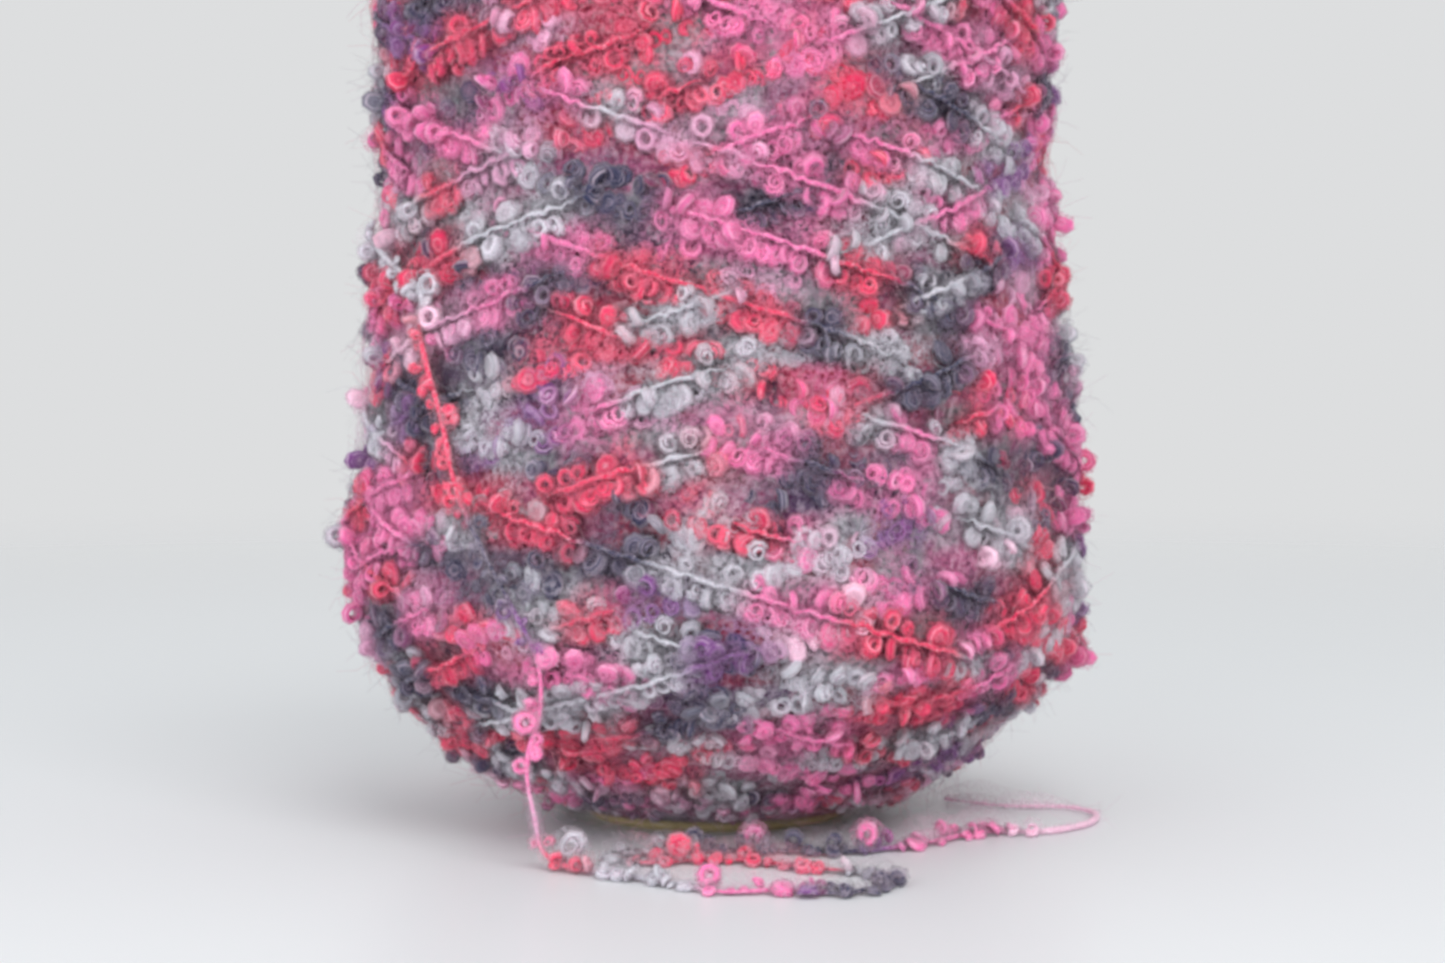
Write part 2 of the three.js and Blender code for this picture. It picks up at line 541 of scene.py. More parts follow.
# the fifth number of each is how much shade is painted in the hollows of its bump
ring_material = yarn_material("mohair rings", True, 2600, 0.4, 0.4, 0.25 * MM, 0.3)
strand_material = yarn_material("mohair strand", False, 1500, 0.4, 0.3, 0.3 * MM, 0.3)
packed_material = yarn_material("packed mohair", False, 600, 0.3, 0.7, 0.8 * MM, 0.2)
hair_material = yarn_material("loose fibres", False, 400, 0.5, 0.1, 0.01 * MM, 0.5)
print("four yarn materials")

# %% [markdown]
# ## Haze in a material
#
# Between the rings hangs a mist of fibres far finer than a mesh could hold. It is drawn as a
# pattern that is open between its lines. Where a smooth noise passes through its middle value
# it leaves a curly line, as a hair does. Two noises of unlike scale give a tangle, and a third one
# gathers it in patches. The group puts out the haze's colour and how much it covers.

# %% Haze node group
HAZE_CURLS = [  # (scale of a noise, its finer octaves, half the width of its lines)
    (260, 1, 0.04),
    (430, 0, 0.06),
]
PATCH_SCALE = 110
PATCH_EDGES = (0.38, 0.62)
THINNEST_PATCH = 0.35
MIST = (0.86, 0.66, 0.8, 1)
MIST_SHARE = 0.22

haze = new_group(
    "mohair haze",
    [("Dye", "Color", GREY), ("Density", "Float", 0.5), ("Fineness", "Float", 1.0)],
    [("Colour", "Color"), ("Cover", "Float")],
)


def add_math(tree, operation, *inputs):
    """A math node's output. Each input is a number or the output that feeds it."""
    numbers = {i: given for i, given in enumerate(inputs) if isinstance(given, (int, float))}
    outputs = {i: given for i, given in enumerate(inputs) if i not in numbers}
    return add_node(tree, "Math", numbers, outputs, operation=operation).outputs["Value"]


def curly_lines(tree, place, fineness, scale, octaves, width):
    """1 along the lines where a noise has its middle value, and 0 away from them."""
    curls = add_node(
        tree, "TexNoise", {"Detail": octaves},
        {"Vector": place, "Scale": add_math(tree, "MULTIPLY", fineness, scale)},
    )
    off_middle = add_math(tree, "SUBTRACT", curls.outputs["Fac"], 0.5)
    line = add_node(
        tree, "MapRange", {"From Max": width, "To Min": 1, "To Max": 0},
        {"Value": add_math(tree, "ABSOLUTE", off_middle)},
    )
    return line.outputs["Result"]


def build_haze(tree):
    """Curly lines of two noises, gathered in patches by a third."""
    given = tree.nodes.new("NodeGroupInput").outputs
    result = tree.nodes.new("NodeGroupOutput").inputs
    place = add_node(tree, "TexCoord").outputs["Object"]
    lines = [curly_lines(tree, place, given["Fineness"], *row) for row in HAZE_CURLS]
    tangle = add_math(tree, "MAXIMUM", *lines)
    patches = add_node(tree, "TexNoise", {"Scale": PATCH_SCALE, "Detail": 0}, {"Vector": place})
    gathered = add_node(
        tree, "MapRange",
        {"From Min": PATCH_EDGES[0], "From Max": PATCH_EDGES[1], "To Min": THINNEST_PATCH},
        {"Value": patches.outputs["Fac"]},
    )
    thick = add_math(tree, "MULTIPLY", tangle, gathered.outputs["Result"])
    pale = add_node(
        tree, "Mix", {"Factor": MIST_SHARE, "B": MIST}, {"A": given["Dye"]}, data_type="RGBA",
    )
    tree.links.new(pale.outputs["Result"], result["Colour"])
    tree.links.new(add_math(tree, "MULTIPLY", thick, given["Density"]), result["Cover"])


build_haze(haze)


def haze_material(name, density, fineness):
    """Fine fibres with open gaps, in the dye of the mesh."""
    material, shader = new_material(name, {"Roughness": 1, "Specular IOR Level": 0})
    tree = material.node_tree
    dye = add_node(tree, "Attribute", attribute_name="dye").outputs["Color"]
    wisps = add_node(
        tree, "Group", {"Density": density, "Fineness": fineness}, {"Dye": dye}, node_tree=haze,
    )
    tree.links.new(wisps.outputs["Colour"], shader.inputs["Base Color"])
    tree.links.new(wisps.outputs["Cover"], shader.inputs["Alpha"])
    return material


print("haze group has", len(haze.nodes), "nodes")

# %% [markdown]
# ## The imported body
#
# Under the rings that show lies more of the same yarn. One closed surface stands for it: a
# profile spun round the axis and cast on the solid winding, then sunk by the depth of the rings
# and made lumpy with noise. A second path, turned a little round the cone, stands for the deeper
# turns. Each point takes the dye of the nearest yarn on it, darkened, because little light gets
# there. The same function makes the sheets of haze later, at other heights.

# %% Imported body
BODY_DEPTH = 3.1 * MM
FOOT_DEPTH = 1.2 * MM  # how much deeper the yarn lies at the foot, where it is pulled tight
FOOT_SHARES = [0.06, 0.24]  # it is fully so up to the first share, and not at all past the second
SEAT_SHARE = 0.05  # at both ends of the outline, where a surface comes back to the solid's
LUMP_NOISES = [(230, 1), (520, 0.5)]  # (scale, its part)
DEEP_OFFSET = 0.17
DEEP_SHADE = 0.32


def surface_at(name, rows, sides, height, lumps):
    """A spun profile whose points are moved onto the winding and then out by a height."""
    bm = bmesh.new()
    shares = np.linspace(0, 1, rows)
    ring = [bm.verts.new(on_winding(0, s)) for s in shares]
    edges = [bm.edges.new(pair) for pair in zip(ring, ring[1:])]
    edges.append(bm.edges.new((ring[-1], ring[0])))
    bmesh.ops.spin(
        bm, geom=ring + edges, cent=(0, 0, 0), axis=(0, 0, 1), angle=2 * math.pi,
        steps=sides, use_merge=True,
    )
    bmesh.ops.recalc_face_normals(bm, faces=bm.faces)
    heights = np.array([v.co.z for v in ring])
    radii = np.array([math.hypot(v.co.x, v.co.y) for v in ring])
    for v in bm.verts:
        angle = math.atan2(v.co.y, v.co.x)
        row = np.argmin((heights - v.co.z) ** 2 + (radii - math.hypot(v.co.x, v.co.y)) ** 2)
        share = shares[row]
        away = min(share / SEAT_SHARE, (1 - share) / SEAT_SHARE, 1)
        lump = sum(part * noise.noise(v.co * scale) for scale, part in LUMP_NOISES)
        lift = height + lumps * lump - float(np.interp(share, FOOT_SHARES, [FOOT_DEPTH, 0]))
        v.co = on_winding(angle, share) + way_out(angle, share) * lift * away
    mesh = bpy.data.meshes.new(name)
    bm.to_mesh(mesh)
    bm.free()
    return smooth_object(name, mesh)


body = surface_at("packed_yarn", rows=104, sides=160, height=-BODY_DEPTH, lumps=0.9 * MM)
deep_angle, deep_share = path_places(5000, DEEP_OFFSET)
deep_path = np.array([on_winding(a, s) for a, s in zip(deep_angle, deep_share)])
deep_colour = dyed(path_run[-1], seed=23)(lengths_along(deep_path))
paint_nearest(body, deep_path, deep_colour * DEEP_SHADE)
finish_piece(body, packed_material)
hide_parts("wound_yarn")

# %% [markdown]
# ## The rings
#
# A ring of boucle is a curl of the soft strand, drawn out towards the strand that holds it. In
# the photo most are 4 to 6 mm across. Some wind round more than once, so that their turns show: a
# section of three points spun with a rise, whose turns are then drawn in like a watch spring.
# Some close to a plain doughnut. Some are so full of fibres that their hole closes: squashed
# balls with a dimple on each side. Few faces are enough, because smooth shading rounds them.

# %% Ring masters
RING_STEPS = 8


def section_off_axis(width, thickness):
    """A small round section in the XZ plane, at the outer edge of a ring of this width."""
    bm = bmesh.new()
    bmesh.ops.create_circle(bm, segments=3, radius=thickness / 2)
    bmesh.ops.rotate(bm, verts=bm.verts, matrix=Matrix.Rotation(math.pi / 2, 3, "X"))
    bmesh.ops.translate(bm, verts=bm.verts, vec=((width - thickness) / 2, 0, 0))
    return bm


def open_ring(width, length, thickness, curl):
    """A doughnut in the XY plane that grows from the origin along +Y."""
    bm = section_off_axis(width, thickness)
    bmesh.ops.spin(
        bm, geom=bm.verts[:] + bm.edges[:], cent=(0, 0, 0), axis=(0, 0, 1), angle=2 * math.pi,
        steps=RING_STEPS, use_merge=True,
    )
    bmesh.ops.scale(bm, verts=bm.verts, vec=(1, length / width, 1))
    return drawn_to_root(bm, length, curl)


def wound_ring(width, length, thickness, curl, windings, innermost):
    """A watch spring in the XY plane, whose last turn has this share of the first one's radius."""
    bm = section_off_axis(width, thickness)
    steps = round(RING_STEPS * windings)
    bmesh.ops.spin(
        bm, geom=bm.verts[:] + bm.edges[:], cent=(0, 0, 0), axis=(0, 0, 1),
        dvec=(0, 0, thickness * 0.4 / RING_STEPS), angle=2 * math.pi * windings, steps=steps,
    )
    bmesh.ops.holes_fill(bm, edges=[e for e in bm.edges if e.is_boundary], sides=3)
    bm.verts.index_update()
    for v in bm.verts:
        drawn_in = 1 - (1 - innermost) * (v.index // 3) / steps
        v.co.x *= drawn_in
        v.co.y *= drawn_in * length / width
    return drawn_to_root(bm, length, curl)


def full_ring(width, length, thickness, curl):
    """A squashed ball with a dimple on each side, which grows from the origin along +Y."""
    bm = bmesh.new()
    bmesh.ops.create_uvsphere(bm, u_segments=RING_STEPS, v_segments=4, radius=width / 2)
    bmesh.ops.scale(bm, verts=bm.verts, vec=(1, length / width, thickness / width))
    poles = [v for v in bm.verts if math.hypot(v.co.x, v.co.y) < width / 100]
    bmesh.ops.scale(bm, verts=poles, vec=(1, 1, 0.2))
    return drawn_to_root(bm, length, curl)


def drawn_to_root(bm, length, curl):
    """The master of a ring with its root at the origin, narrower there, curled out of its plane."""
    bmesh.ops.translate(bm, verts=bm.verts, vec=(0, length / 2, 0))
    made = master_of(bm, length / 2)
    far = made.points[:, 1] / length
    made.points[:, 0] *= 0.72 + 0.36 * far
    made.points[:, 2] += curl * ((2 * far - 1) * made.points[:, 0] + 0.4 * length * far**2)
    return made


rings = [  # (width, length, thickness, curl), and for a wound ring (windings, innermost)
    wound_ring(5.8 * MM, 5.8 * MM, 1.7 * MM, 0.2, 1.6, 0.35),
    wound_ring(5.0 * MM, 6.2 * MM, 1.6 * MM, -0.25, 1.4, 0.4),
    open_ring(5.8 * MM, 5.8 * MM, 2.3 * MM, 0.2),
    open_ring(4.8 * MM, 5.4 * MM, 2.1 * MM, -0.3),
    full_ring(5.6 * MM, 5.6 * MM, 2.6 * MM, 0.15),
    full_ring(4.6 * MM, 6.2 * MM, 2.3 * MM, -0.2),
]
RING_ODDS = [0.22, 0.18, 0.13, 0.11, 0.2, 0.16]
print("ring masters have", [int((m.sizes - 2).sum()) for m in rings], "triangles")

# %% [markdown]
# ## Where the rings go
#
# Along the yarn a ring follows about every 1.75 mm, on one side of the strand or the other, and
# fewer are kept where the cone is narrow. Most lie flat against the cone and droop a little. A few
# stand up like ears, which roughens the outline. The strand itself rides higher or lower, because
# other turns lie over and under it.

# %% Ring places
RING_PITCH = 1.75 * MM
EARS = 0.06  # the share of rings that stand out
STRAND_HIGH = -0.5 * MM
STRAND_LOW = -4.4 * MM
RINGS_BELOW = 0.65  # the share of rings that hang on the lower side of the strand
RINGS_BEHIND = 8  # whose dyes show through the thin rim of a ring
RINGS_IN_HAZE = 4  # whose dyes a place in the haze has
PITCH_VARIES = (0.6, 1.4)
RING_SIZES = (0.86, 1.24)
RING_SHADES = (0.8, 0.97)
SMALLER_AT_FOOT = 0.25
COVER_RADIUS = 72 * MM  # narrower than this, the strands lie closer and need fewer rings
DYE_STRAYS = 1.2  # mm along the yarn, so that neighbours differ a little
# a ring's rim mixes its own dye with the dyes behind it, which show through; the two shares add up to 0.95,
# so the rim is also painted a little darker, as shade at the ring's edges
OWN_IN_RIM = 0.45
NEAR_IN_RIM = 0.5
STRAND_WAVES = 38 * MM


def unit(vectors):
    """Each row as long as 1."""
    return vectors / np.linalg.norm(vectors, axis=1)[:, None]


def at_lengths(run, lengths, rows):
    """What rows of three values along a line are at these lengths."""
    return np.stack([np.interp(run, lengths, column) for column in rows.T], 1)


def along_path(run):
    """Points, ways along and ways out at these lengths along the yarn on the winding."""
    place, along, out = (at_lengths(run, path_run, rows) for rows in (path, path_way, path_out))
    return place, unit(along), unit(out)


def near_foot(run):
    """1 where the yarn turns round the foot of the cone, and 0 from its lower shoulder up."""
    share = np.interp(run, path_run, path_share)
    return np.interp(share, FOOT_SHARES, [1, 0])


def strand_lift(run):
    """How far the strand rides above the solid's surface at these lengths."""
    wave = np.array([noise.noise((r / STRAND_WAVES, 4.2, 0)) for r in run])
    ride = STRAND_LOW + (STRAND_HIGH - STRAND_LOW) * np.clip(0.5 + wave, 0, 1)
    return ride - FOOT_DEPTH * near_foot(run)


def ring_turns(draw, along, out, ears, droop):
    """For each ring, a matrix whose columns are its width, its length and the way it faces."""
    count = len(along)
    across = np.cross(out, along)
    falls = (across[:, 2] < 0) == (draw.random(count) < RINGS_BELOW)
    across = across * np.where(falls, 1.0, -1.0)[:, None]
    sway = draw.normal(0, 0.45, (count, 1))
    tip = across + along * sway + out * draw.uniform(-0.3, 0.3, (count, 1))
    tip[:, 2] -= droop * draw.random(count)
    tip[ears] = out[ears] + 0.5 * across[ears] + 0.4 * sway[ears] * along[ears]
    tip = unit(tip)
    facing = out + along * draw.normal(0, 0.5, (count, 1))
    facing = facing + across * draw.normal(0, 0.3, (count, 1))
    facing[ears] = along[ears] + 0.5 * across[ears] * draw.normal(0, 1, (ears.sum(), 1))
    width = unit(np.cross(tip, facing))
    facing = np.cross(width, tip)
    return np.stack([width, tip, facing], 2)


def above_surface(turns, roots, masters, picks):
    """Lifts each copy that would reach below the surface that the cone stands on."""
    for number, master in enumerate(masters):
        mine = np.flatnonzero(picks == number)
        heights = np.einsum("nj,vj->nv", turns[mine, 2], master.points) + roots[mine, 2:3]
        roots[mine, 2] += np.maximum(0, 0.05 * MM - heights.min(1))
    return roots


def colours_near(places, tree, colours, count):
    """For each place, the mean colour of the nearest places in the tree."""
    near = [[found[1] for found in tree.find_n(place, count)] for place in places]
    return colours[np.array(near)].mean(1)


draw = np.random.default_rng(5)
run = np.cumsum(draw.uniform(*PITCH_VARIES, int(path_run[-1] / RING_PITCH)) * RING_PITCH)
run = run[run < path_run[-1]]
place, along, out = along_path(run)
kept = draw.random(len(run)) < np.hypot(place[:, 0], place[:, 1]) / COVER_RADIUS
run, place, along, out = run[kept], place[kept], along[kept], out[kept]
lift = strand_lift(run)
ears = draw.random(len(run)) < EARS
turns = ring_turns(draw, along, out, ears, 0.55)
shrunk = (1 - SMALLER_AT_FOOT * near_foot(run))[:, None, None]
turns *= draw.uniform(*RING_SIZES, (len(run), 1, 1)) * shrunk
rise = lift + draw.uniform(-0.2, 0.3, len(run)) * MM
picks = draw.choice(len(rings), len(run), p=RING_ODDS)
roots = above_surface(turns, place + out * rise[:, None], rings, picks)
colours = yarn_colour(run + draw.normal(0, DYE_STRAYS, len(run)) * MM)
colours = colours * draw.uniform(*RING_SHADES, (len(run), 1))
ring_tree = tree_of(roots)
behind = colours_near(roots, ring_tree, colours, RINGS_BEHIND)
rims = OWN_IN_RIM * colours + NEAR_IN_RIM * behind
print(len(run), "rings")

# %% Rings as four pieces
PIECES_OF_RINGS = 4
for number, mine in enumerate(np.array_split(np.argsort(roots[:, 2]), PIECES_OF_RINGS)):
    name = f"mohair_rings_{number + 1}"
    piece = copies(name, rings, picks[mine], turns[mine], roots[mine], colours[mine], rims[mine])
    finish_piece(piece, ring_material)

# %% [markdown]
# ## The haze
#
# Three closed sheets of haze lie over each other among the rings. Deep rings are veiled by all
# of them and look dim and blended. Each point of a sheet takes the mean dye of the rings nearest
# to it. The proudest rings stand clear of the sheets, so each of them has a puff of its own: a
# squashed ball a little larger than the ring, in the same haze.

# %% Haze on the winding
HAZE_SHEETS = [  # (height, density, fineness)
    (-2.1 * MM, 0.45, 1),
    (-0.7 * MM, 0.5, 1.4),
    (0.8 * MM, 0.58, 2),
]

for number, (height, density, fineness) in enumerate(HAZE_SHEETS):
    name = f"mohair_haze_{number + 1}"
    sheet = surface_at(name, rows=84, sides=120, height=height, lumps=0.8 * MM)
    corners = [v.co for v in sheet.data.vertices]
    paint_dye(sheet.data, colours_near(corners, ring_tree, colours, RINGS_IN_HAZE))
    finish_piece(sheet, haze_material(f"haze {number + 1}", density, fineness))

# %% Puffs of haze on the proudest rings
PUFFS = 4700
PUFF_WIDTH = 7 * MM
PUFF_THICKNESS = 3.6 * MM
ball = bmesh.new()
bmesh.ops.create_icosphere(ball, subdivisions=1, radius=PUFF_WIDTH / 2)
bmesh.ops.scale(ball, verts=ball.verts, vec=(1, 1, PUFF_THICKNESS / PUFF_WIDTH))
bmesh.ops.translate(ball, verts=ball.verts, vec=(0, PUFF_WIDTH * 0.42, 0))
puff = [master_of(ball)]


def puffs_on(name, turns, roots, colours, material):
    """A puff of haze round each of these rings."""
    picks = np.zeros(len(turns), int)
    roots = above_surface(turns, roots, puff, picks)
    made = copies(name, puff, picks, turns, roots, colours, colours)
    finish_piece(made, material)
    return made


proud = np.argsort(-lift)[:PUFFS]
puff_haze = haze_material("haze of the puffs", density=0.75, fineness=2.4)
puffs_on("mohair_puffs", turns[proud], roots[proud], colours[proud], puff_haze)

# %% [markdown]
# ## The strands
#
# Between the rings the core of the yarn shows as a straight fuzzy line, where its turn lies on
# top. Each such stretch is a curve with a bevel, which is then made a mesh. A square section is
# enough, because smooth shading rounds it. Its points take the dye of the nearest yarn. A sleeve
# of haze goes round it.

# %% Strands on the winding
def tube_along(name, lines, radii, resolution):
    """A mesh of tubes, one for each line of points, closed at their ends."""
    curve = bpy.data.curves.new(name, "CURVE")
    curve.dimensions = "3D"
    curve.bevel_depth = 1
    curve.bevel_resolution = resolution
    curve.use_fill_caps = True
    for line, radius in zip(lines, radii):
        spline = curve.splines.new("POLY")
        spline.points.add(len(line) - 1)
        spline.points.foreach_set("co", np.column_stack([line, np.ones(len(line))]).ravel())
        spline.points.foreach_set("radius", radius)
    holder = bpy.data.objects.new(name, curve)
    mesh = bpy.data.meshes.new_from_object(holder)
    bpy.data.objects.remove(holder)
    bpy.data.curves.remove(curve)
    mesh.name = name
    return smooth_object(name, mesh)


STRAND_STEP = 1.4 * MM
STRAND_SHOWS = -2.5 * MM  # a lower strand is hidden by rings
STRAND_RADIUS = 0.52 * MM
STRAND_HAZE = 1.5 * MM  # the radius of the haze round it
STRAND_WAVERS = 0.32  # mm
STRAND_OUT = 1.9  # mm further out than the roots of its rings
STRAND_SHADE = 0.9
FEWEST_STEPS = 6  # a shorter stretch is left out
strand_run = np.arange(0, path_run[-1], STRAND_STEP)
strand_at, strand_way, strand_out = along_path(strand_run)
strand_rise = strand_lift(strand_run)
draw = np.random.default_rng(8)
waver = np.cross(strand_out, strand_way) * draw.normal(0, STRAND_WAVERS, (len(strand_run), 1)) * MM
waver += strand_out * draw.normal(STRAND_OUT, 0.2, (len(strand_run), 1)) * MM
strand_line = strand_at + strand_out * strand_rise[:, None] + waver
shows = np.flatnonzero((strand_rise > STRAND_SHOWS) & (near_foot(strand_run) < 0.5))
stretches = np.split(shows, np.flatnonzero(np.diff(shows) > 1) + 1)
stretches = [part for part in stretches if len(part) > FEWEST_STEPS]


def fading_radii(count):
    """Radii that grow from nothing at both ends and vary between."""
    from_end = np.minimum(np.arange(count) + 1, count - np.arange(count))
    return STRAND_RADIUS * np.minimum(1, from_end / 5) * draw.uniform(0.5, 1.5, count)


strand_radii = [fading_radii(len(part)) for part in stretches]
strands = tube_along("mohair_strands", [strand_line[part] for part in stretches], strand_radii, 0)
paint_nearest(strands, strand_line, yarn_colour(strand_run) * STRAND_SHADE)
finish_piece(strands, strand_material)
print(len(stretches), "stretches of strand")
misty = [strand_line[part[::2]] for part in stretches]
haze_radii = [np.full(len(line), STRAND_HAZE) for line in misty]
strand_haze = tube_along("strand_haze", misty, haze_radii, 0)
paint_nearest(strand_haze, strand_line, yarn_colour(strand_run))
finish_piece(strand_haze, haze_material("haze of the strands", density=0.7, fineness=2.4))

# %% [markdown]
# ## The fibres
#
# Single fibres stand off the yarn like a mist. Each is a thin prism that tapers and bends, made
# by extruding a small triangle in steps. Most lie along the surface and some stand out from it.

# %% Fibre masters
FIBRE_STEPS = 2
FIBRE_THICKNESS = 0.016  # of its length, at the root


def fibre_master(bend, sway):
    """A thin prism that is 1 long, grows along +Y and bends towards +Z."""
    bm = bmesh.new()
    bmesh.ops.create_circle(bm, cap_ends=True, segments=3, radius=FIBRE_THICKNESS / 2)
    bmesh.ops.rotate(bm, verts=bm.verts, matrix=Matrix.Rotation(math.pi / 2, 3, "X"))
    tip = bm.faces[:]
    for _ in range(FIBRE_STEPS):
        made = bmesh.ops.extrude_face_region(bm, geom=tip)["geom"]
        tip = [g for g in made if isinstance(g, bmesh.types.BMFace)]
        corners = [v for v in made if isinstance(v, bmesh.types.BMVert)]
        bmesh.ops.translate(bm, verts=corners, vec=(0, 1 / FIBRE_STEPS, 0))
        middle = sum((v.co for v in corners), Vector()) / 3
        bmesh.ops.scale(bm, verts=corners, vec=(0.75, 1, 0.75), space=Matrix.Translation(-middle))
    for v in bm.verts:
        v.co.z += bend * v.co.y**2
        v.co.x += sway * math.sin(math.pi * v.co.y)
    return master_of(bm)


hairs = [fibre_master(0.35, 0.05), fibre_master(0.7, -0.12), fibre_master(0.15, 0.18)]
print("fibre masters have", [int((m.sizes - 2).sum()) for m in hairs], "triangles")

# %% Fibres on the winding
FIBRES = 5000
STANDING = 0.35  # the share of fibres that stand out


def fibre_turns(draw, along, out, stand):
    """For each fibre, a matrix that lays it along the yarn or stands it out."""
    count = len(along)
    across = np.cross(out, along)
    way = draw.uniform(0, 2 * math.pi, (count, 1))
    tip = unit(along * np.cos(way) + 0.8 * across * np.sin(way) + out * stand[:, None])
    bend = unit(np.cross(tip, draw.normal(0, 1, (count, 3))))
    return np.stack([np.cross(tip, bend), tip, bend], 2)


draw = np.random.default_rng(9)
run = draw.uniform(0, path_run[-1], FIBRES)
place, along, out = along_path(run)
stands = draw.random(FIBRES) < STANDING
stand = np.where(stands, draw.uniform(0.5, 1.6, FIBRES), draw.uniform(0, 0.35, FIBRES))
turns = fibre_turns(draw, along, out, stand) * draw.uniform(4, 8, (FIBRES, 1, 1)) * MM
picks = draw.integers(0, len(hairs), FIBRES)
roots = above_surface(turns, place + out * draw.uniform(0, 1.2, (FIBRES, 1)) * MM, hairs, picks)
colours = paled(yarn_colour(run), 0.45, 226, 202, 218)
fibre_piece = copies("mohair_fibres", hairs, picks, turns, roots, colours, colours)
finish_piece(fibre_piece, hair_material)

# %% [markdown]
# ## The loose end
#
# The loose end is a real length of the same yarn. Its dyes follow the photo along its route,
# as a short list of runs. Its rings are separate copies that sit on it: on the cone they lie
# against the winding, in the air they hang on both sides, and on the surface they lie flat or
# stand a little, never lower than the surface.

# %% Loose end
LOOSE_DYES = [  # (dye, from this length on in mm)
    ("silver", 0), ("scarlet", 50), ("slate", 98), ("plum", 122), ("rose", 133), ("blush", 164),
    ("scarlet", 176), ("silver", 190), ("rose", 222), ("slate", 247), ("silver", 278),
    ("scarlet", 286), ("silver", 336), ("slate", 364), ("plum", 402), ("rose", 410), ("petal", 446),
]
PLUMP_PARTS = [  # (length along in mm, thicker by)
    (95, 0.15), (110, 0), (440, 0), (456, 0.25), (495, 0.25), (510, -0.2),
]
THINNEST = 0.25
USUAL_THICKNESS = 0.62  # of the yarn's diameter
THICKNESS_VARIES = 0.4
loose_colour = in_runs(
    np.array([start for _, start in LOOSE_DYES]) * MM,
    np.array([linear(*DYES[dye][:3]) for dye, _ in LOOSE_DYES]),
)
loose_run = lengths_along(loose_line)
slubs = np.array([noise.noise(Vector(p) * 260) for p in loose_line])
thickness = USUAL_THICKNESS + THICKNESS_VARIES * slubs
thickness = np.maximum(thickness + np.interp(loose_run / MM, *zip(*PLUMP_PARTS)), THINNEST)
loose = tube_along("loose_yarn", [loose_line], [0.5 * YARN_DIAMETER * thickness], 2)
paint_nearest(loose, loose_line, loose_colour(loose_run))
finish_piece(loose, strand_material)
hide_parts("loose_end")
print(f"it is {thickness.min():.2f} to {thickness.max():.2f} of its width")

# %% Rings of the loose end
LOOSE_PITCH = 2.4 * MM
BARE_PARTS = [(163, 178), (455, 540)]  # without rings, from and to these lengths in mm
SINGLE_RINGS = [  # (length along in mm, size, tip, facing, master, dye)
    (44, 1.3, (0.9, -0.5, 0.1), (-0.3, -1, 0), 2, "silver"),
    (50, 1.25, (0.5, -0.4, -0.8), (-0.3, -1, 0), 2, "petal"),
    (92, 0.95, (0.2, -0.2, -1), (-0.2, -1, 0), 2, "scarlet"),
    (140, 1.1, (0.5, -0.2, 0.8), (0, -1, 0), 4, "rose"),
    (150, 1.1, (-0.8, -0.2, -0.4), (0, -1, 0), 2, "rose"),
    (184, 1.5, (0.8, 0, 0.9), (0, -1, 0), 1, "silver"),
    (226, 1.1, (0.2, 0.6, 0.8), (0, -1, 0.4), 2, "rose"),
    (248, 1.0, (0.1, -1, 0.1), (0, -0.2, 1), 2, "plum"),
    (329, 1.15, (0.2, 0.1, 1), (0, -1, 0), 4, "scarlet"),
    (368, 0.95, (-0.4, 0, 0.8), (0, -1, 0), 2, "slate"),
    (378, 1.25, (0.6, 0, 0.9), (0, -1, 0.1), 3, "rose"),
    (388, 1.0, (0.3, -0.3, 0.8), (0, -1, 0), 2, "slate"),
    (396, 0.95, (0.5, -0.2, 0.7), (0, -1, 0.2), 1, "slate"),
    (405, 1.3, (0.2, 0, 1), (0, -1, 0), 3, "rose"),
]


def along_line(line, run):
    """Points and ways along a line at these lengths."""
    lengths = lengths_along(line)
    way = at_lengths(run, lengths, np.gradient(line, axis=0))
    return at_lengths(run, lengths, line), unit(way)


def turn_towards(tip, facing):
    """A matrix whose columns are a ring's width, its length and the way it faces."""
    tip = Vector(tip).normalized()
    width = tip.cross(Vector(facing)).normalized()
    return np.stack([width, tip, width.cross(tip)], 1)


draw = np.random.default_rng(12)
run = np.arange(0.002, loose_length, LOOSE_PITCH)
run = run + draw.uniform(-0.5, 0.5, len(run)) * LOOSE_PITCH
for start, end in BARE_PARTS:
    run = run[(run < start * MM) | (run > end * MM)]
place, along = along_line(loose_line, run)
on_floor = place[:, 2] < 3 * MM
out = unit(np.where(on_floor[:, None], (0, -0.5, 1), place * (1, 1, 0)))
out = unit(out - along * (out * along).sum(1)[:, None])
ears = draw.random(len(run)) < 0.2
turns = ring_turns(draw, along, out, ears, 0.3) * draw.uniform(0.45, 0.9, (len(run), 1, 1))
picks = draw.choice(len(rings), len(run), p=[0.3, 0.26, 0.16, 0.14, 0.08, 0.06])
colours = loose_colour(run)

single_run = np.array([row[0] for row in SINGLE_RINGS]) * MM
place = np.concatenate([place, along_line(loose_line, single_run)[0]])
turns = np.concatenate([turns, [turn_towards(row[2], row[3]) * row[1] for row in SINGLE_RINGS]])
picks = np.concatenate([picks, [row[4] for row in SINGLE_RINGS]])
colours = np.concatenate([colours, [linear(*DYES[row[5]][:3]) for row in SINGLE_RINGS]])
roots = above_surface(turns, place, rings, picks)
# the rims of these rings are painted a tenth darker than their crests, as shade at the edges of each ring
loose_rings = copies("loose_rings", rings, picks, turns, roots, colours, colours * 0.9)
finish_piece(loose_rings, ring_material)
print(len(roots), "rings on the loose end")
pale_rings = paled(colours, 0.4, 238, 226, 236)
loose_puffs = puffs_on("loose_puffs", turns, roots, pale_rings, puff_haze)

